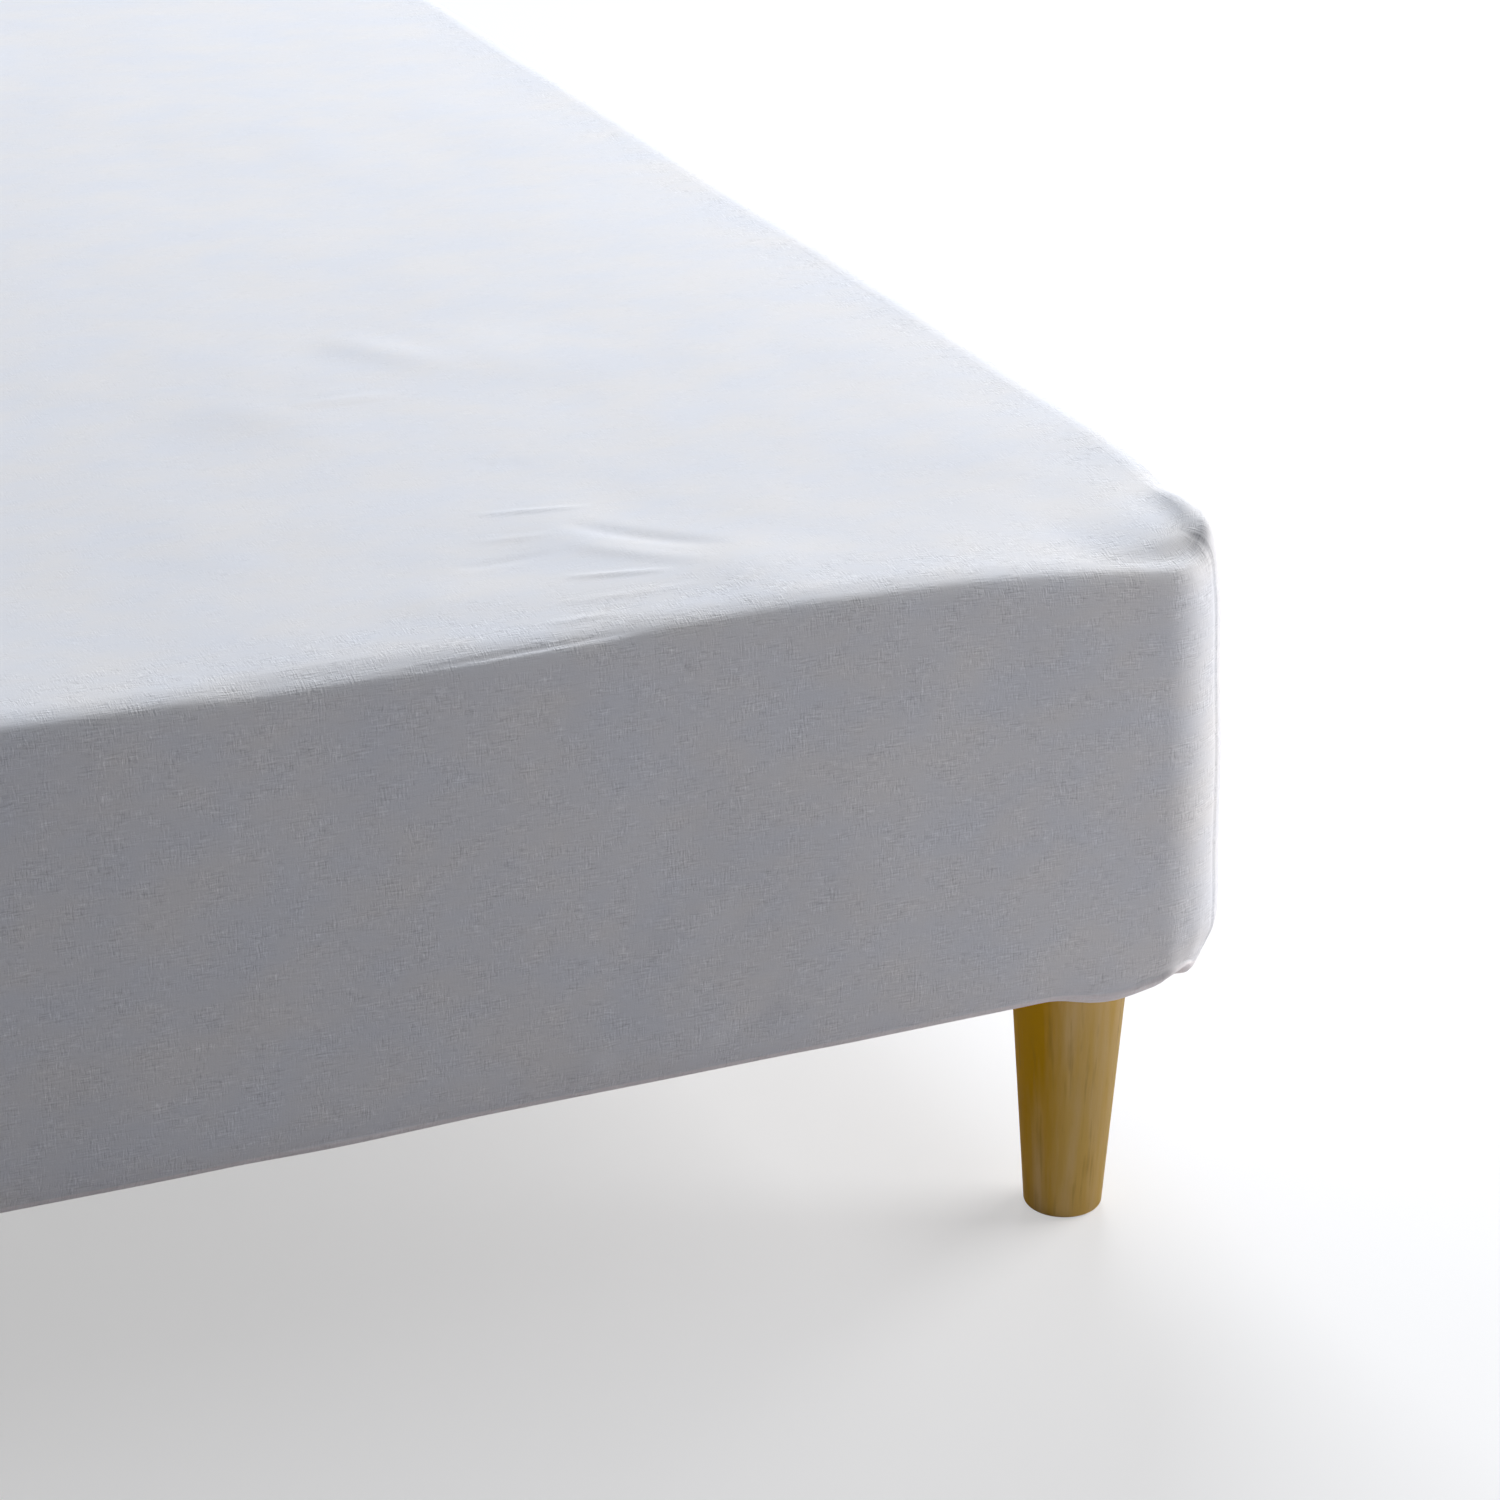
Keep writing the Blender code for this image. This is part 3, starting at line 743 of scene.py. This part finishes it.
def top_relief(x, y):
    """Height of the cloth's folds, creases and unevenness over a place on the top."""
    total = sum(height * mottle(x, y, size, seed) for size, height, seed in MOTTLES)
    for x0, y0, x1, y1, half_width, height in FOLDS:
        run, side, length = line_places(x, y, x0, y0, x1, y1)
        past = np.maximum(np.abs(run - 0.5) - 0.5, 0.0) * length
        total = total + height * np.exp(-(side ** 2 + past ** 2) / half_width ** 2)
    for row in CREASES:
        total = total + crease(x, y, *row)
    for row in HELD_UP:
        total = total + corner_ridge(x, y, HELD_UP_RISE, HELD_UP_FALL, *row)
    for row in PINCHES:
        total = total + corner_ridge(x, y, PINCH_RISE, PINCH_FALL, *row)
    return total


def face_relief(side, a, z):
    """How far the cloth of the four faces stands out, a being the place along the face."""
    total = sum(height * mottle(a + FACE_APART * side, z, size, seed + FACE_SEED)
                for size, height, seed in MOTTLES)
    for name, *row in FACE_CREASES:
        total = total + np.where(side == FACES.index(name), crease(a, z, *row), 0.0)
    return total


def leg_bump(x, y):
    """1 beside each leg, along either face, and 0 from HEM_HANG_WIDTH away from it."""
    by_end = np.where(np.abs(y) > LEG_Y + CORNER_TURN / 2.0,
                      1.0 - np.abs(np.abs(x) - HEM_HANG_X) / HEM_HANG_WIDTH, 0.0)
    by_side = np.where(np.abs(x) > LEG_X + CORNER_TURN / 2.0,
                       1.0 - np.abs(np.abs(y) - HEM_HANG_Y) / HEM_HANG_WIDTH, 0.0)
    return ease(np.maximum(by_end, by_side))


def hem_reach(x, y):
    """Reach of the hem under the bed: short from a leg outwards, long between legs."""
    between = np.where(np.abs(x) > LEG_X, LEG_Y - np.abs(y), LEG_X - np.abs(x))
    return HEM_REACH_AT_LEG + (HEM_REACH - HEM_REACH_AT_LEG) * ease(
        (between - HEM_LEG_ZONE) / HEM_EASE)


def seam_relief(past_seam):
    """A corner seam: its groove, and past it the allowance, turned in under the side."""
    groove = SEAM_GROOVE * np.exp(-(past_seam / SEAM_GROOVE_HALF) ** 2)
    allowance = (SEAM_ALLOWANCE * ease(past_seam / SEAM_GROOVE_HALF)
                 * ease(1.0 - past_seam / SEAM_ALLOWANCE_WIDTH))
    return allowance - groove


def shares(count):
    """1 / count, 2 / count and so on to 1."""
    return np.arange(1, count + 1) / count


def hem_rows(s, t, side, out, down, nub):
    """Out and down past the section's last row: in under the bed, then the hem turned back."""
    hem_out = FACE_OUT - hem_reach(*round_plan(s, t))
    ruche = HEM_RUCHE * mottle(s + side, t, HEM_RUCHE_LENGTH, HEM_RUCHE_SEED)
    inwards = shares(UNDER_STEPS)[:, None]
    level_off = ease((inwards - HEM_RUCHE_FROM) / (1.0 - HEM_RUCHE_FROM))
    under_out = out + (hem_out - out) * inwards
    under_down = down + (ruche - NUB_DOWN * nub) * level_off
    turn_out, turn_up = np.array(HEM_TURN).T[:, :, None]
    return (np.concatenate((under_out, hem_out + HEM_WIDTH * turn_out)),
            np.concatenate((under_down, under_down[-1] - HEM_THICK * turn_up)))


def skirt_points(s, t):
    """The skirt over the columns round the edge: points, running length and hem by row.

    The section's rows come first, then the stretch in under the bed, and then the hem,
    turned up and back over itself. Relief lifts the cloth along the section's normal.
    """
    run, section = section_curve(SHEET_SECTION)
    out, down, tuck, hang, seam, bead_out, bead_down = section.T[:, :, None]
    level = down
    across_face = np.gradient(down[:, 0], run)[:, None]
    across_top = np.gradient(out[:, 0], run)[:, None]

    # Each column: its share of the way to a corner seam, its face, and its place along it.
    x, y = round_plan(s, t)
    share = np.minimum(*corner_share(s, t))
    on_end = np.abs(t) > np.abs(s) + RIM_Y - RIM_X
    side = np.where(on_end, np.where(t < 0.0, 0, 2), np.where(s > 0.0, 1, 3))
    place = np.where(on_end, s, t)
    corner = np.where(on_end, ease(share) * ease(share * TUCK_SOONER_END),
                      ease(share * TUCK_SOONER_SIDE))
    by_corner = ease((BEAD_GONE - np.where(on_end, RIM_X, RIM_Y) + np.abs(place))
                     / (BEAD_GONE - BEAD_FULL))
    wander = np.maximum(mottle(place, side * WANDER_APART, WANDER_GRAIN, WANDER_SEED), 0.0)

    # The bead, and each corner's tuck, gathers, pucker, nub and raised hem.
    bead = by_corner + BEAD_ELSEWHERE * wander * (1.0 - by_corner)
    waves = 0.5 - 0.5 * np.cos(2.0 * math.pi * GATHER_WAVES * share)
    rise = ease((level - GATHER_FROM) / (BODY_HEIGHT - GATHER_FROM))
    part = np.where(on_end, PUCKER_SHARE_END, PUCKER_SHARE_SIDE)
    pucker = seam * ease(1.0 - (1.0 - share) / part)
    from_seam = (1.0 - share) * SEAM_SPREAD
    from_seam_right = np.where(on_end, -from_seam, from_seam)
    nub = np.exp(-((from_seam_right + NUB_ASIDE) / NUB_HALF) ** 2)
    nub = nub * ease((level - NUB_FROM) / (NUB_TO - NUB_FROM))
    hangs = HEM_HANG * leg_bump(x, y) - HEM_RAISED * ease(share / HEM_RAISED_SHARE)
    out = out + bead_out * bead - TUCK * tuck * corner + GATHER * waves * rise
    out = out + PUCKER_OUT * pucker + NUB_OUT * nub
    down = down + bead_down * bead + hangs * hang + NUB_DOWN * nub
    down = down - PUCKER_UP * pucker * (1.0 - level / BODY_HEIGHT)

    # The relief of the top runs on over the edge, and gives way to that of the face.
    plain = edge_points(s, t, out, down, 1.0)
    rise_on_top = np.clip(across_top, 0.0, 1.0) * top_relief(plain[0], plain[1])
    lift = across_face * (1.0 - corner) * face_relief(side, place, plain[2])
    doubled = ease((level[:, 0] - HEM_LEDGE_DOWN) / HEM_LEDGE)
    hem_shows = (by_corner * (1.0 - HEM_FLAT_AT_CORNER * corner)
                 + HEM_PROUD_ELSEWHERE * wander * (1.0 - by_corner))
    lift = lift + HEM_PROUD * hem_shows * doubled[:, None]
    steep = np.clip(across_face / SEAM_STEEP, 0.0, 1.0)
    lift = lift + seam_relief(from_seam_right + SEAM_ASIDE) * steep
    out, down = out + lift * across_face, down - lift * across_top - rise_on_top

    hem_out, hem_down = hem_rows(s, t, side, out[-1], down[-1], nub[-1])
    out, down = np.concatenate((out, hem_out)), np.concatenate((down, hem_down))
    reach = HEM_REACH - FACE_OUT + SHEET_SECTION[-1][0]
    run = np.append(run, run[-1] + reach * shares(UNDER_STEPS))
    run = np.append(run, run[-1] + HEM_WIDTH * shares(len(HEM_TURN)))
    doubled = np.append(doubled, np.ones(len(run) - len(doubled)))
    return edge_points(s, t, out, down, 1.0), run, doubled


def cloth_places(across, along, walk, run):
    """Each quad corner's place on the flat cloth, in the order of sheeted's quads.

    On the top it is the panel's own place. A skirt runs on from the panel's side by the
    section's running length, so the pattern breaks only at the corner seams.
    """
    flat = np.stack(np.meshgrid(across, along), axis=-1)
    over = np.stack((flat[:-1, :-1], flat[:-1, 1:], flat[1:, 1:], flat[1:, :-1]), axis=2)
    wide, long = len(across) - 1, len(along) - 1
    outwards = np.repeat(((0, -1), (1, 0), (0, 1), (-1, 0)), (wide, long, wide, long), axis=0)
    edge = np.stack((across[walk[0]], along[walk[1]]), axis=-1)
    fall = run[:, None, None] * outwards
    here, ahead = edge + fall, np.roll(edge, -1, axis=0) + fall
    round_it = np.stack((here[1:], ahead[1:], ahead[:-1], here[:-1]), axis=2)
    return np.concatenate((over.reshape(-1, 2), round_it.reshape(-1, 2)))


across, along = grid_lines(RIM_X, LINES_X), grid_lines(RIM_Y, LINES_Y)
s, t = np.meshgrid(across, along)
walk = walk_round(across, along)
top = top_points(s, t, 0.0, 1.0)
top = (top[0], top[1], top[2] + top_relief(top[0], top[1]))
skirt, run, doubled = skirt_points(across[walk[0]], along[walk[1]])
points, quads, _ = sheeted(top, skirt, walk)

cotton = bpy.data.materials.new("white_cotton")
sheet = surface("fitted_sheet_cloth", points, quads.tolist(), cotton)
cloth_map = sheet.data.uv_layers.new(name="cloth")
places = cloth_places(across, along, walk, run).astype(np.float32)
cloth_map.data.foreach_set("uv", places.ravel())
# Painted light: the slubs are painted fainter on the top, away from its edge, where strong light
# washes them out.
from_edge = np.minimum(RIM_X - np.abs(s), RIM_Y - np.abs(t))
by_edge = 1.0 - from_edge / SHOWS_EDGE
shows = np.ones(len(points), np.float32)
shows[:s.size] = (SHOWS_ON_TOP + (1.0 - SHOWS_ON_TOP) * ease(by_edge)).ravel()
sheet.data.attributes.new("slubs_show", "FLOAT", "POINT").data.foreach_set("value", shows)
# Painted light: the doubled hem is marked to be painted lighter and warmer, standing in for the
# floor's light on it.
hem = np.zeros(len(points), np.float32)
hem[s.size:] = np.repeat(doubled[1:], len(walk[0]))
sheet.data.attributes.new("hem", "FLOAT", "POINT").data.foreach_set("value", hem)


def slubs(tree, noise, start, full, strength):
    """Tone of a yarn: strength where it is thick, -strength where it is thin, 0 between."""
    thick = remapped(tree, noise, 0.5 + start, 0.5 + full, 0.0, strength)
    thin = remapped(tree, noise, 0.5 - start, 0.5 - full, 0.0, -strength)
    return sums(tree, "ADD", thick, thin)


tree = empty_tree(cotton)
flat_place = node(tree, "ShaderNodeUVMap", uv_map="cloth").outputs[0]
shows = node(tree, "ShaderNodeAttribute", attribute_name="slubs_show").outputs["Fac"]
hem = node(tree, "ShaderNodeAttribute", attribute_name="hem").outputs["Fac"]
weft = grain(tree, flat_place, WEFT_GRAIN, 1.0)
warp = grain(tree, flat_place, WARP_GRAIN, 1.0)
long_slubs = grain(tree, flat_place, LONG_GRAIN, 1.0)
yarn = grain(tree, flat_place, YARN_GRAIN)
patches = grain(tree, flat_place, PATCH_GRAIN, 1.0)
cloud = grain(tree, flat_place, CLOUD_GRAIN, 3.0)
tone = sums(tree, "ADD", slubs(tree, weft, *WEFT_SLUBS), slubs(tree, warp, *WARP_SLUBS))
tone = sums(tree, "MULTIPLY", tone, remapped(tree, patches, 0.35, 0.65, 0.15, 1.2))
yarn = sums(tree, "MULTIPLY_ADD", yarn, YARN_STRENGTH, -YARN_STRENGTH / 2.0)
tone = sums(tree, "ADD", tone, yarn)
tone = sums(tree, "ADD", tone, remapped(tree, long_slubs, 0.64, 0.74, 0.0, -LONG_STRENGTH))
# Painted light: the slubs fade on the top, where strong light washes them out.
tone = sums(tree, "MULTIPLY", tone, shows)
colour = mixed(tree, remapped(tree, cloud, 0.35, 0.65), WHITE_COOL, WHITE_WARM)
# Painted light: the doubled hem is lighter and warmer.
colour = mixed(tree, hem, colour, WHITE_HEM_PAINTED_LIGHT)
bright = node(tree, "ShaderNodeHueSaturation")
tree.links.new(sums(tree, "MULTIPLY_ADD", tone, SLUB_CONTRAST, 1.0), bright.inputs["Value"])
tree.links.new(colour, bright.inputs["Color"])
weave = node(tree, "ShaderNodeBsdfPrincipled", Sheen_Weight=0.10, Sheen_Roughness=0.5)
relief = node(tree, "ShaderNodeBump", Strength=0.35, Distance=0.0003)
tree.links.new(bright.outputs[0], weave.inputs["Base Color"])
tree.links.new(remapped(tree, tone, -0.3, 0.3, 0.95, 0.85), weave.inputs["Roughness"])
tree.links.new(tone, relief.inputs["Height"])
tree.links.new(relief.outputs[0], weave.inputs["Normal"])
tree.links.new(weave.outputs[0], node(tree, "ShaderNodeOutputMaterial").inputs[0])

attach(sheet, "root")
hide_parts("fitted_sheet")
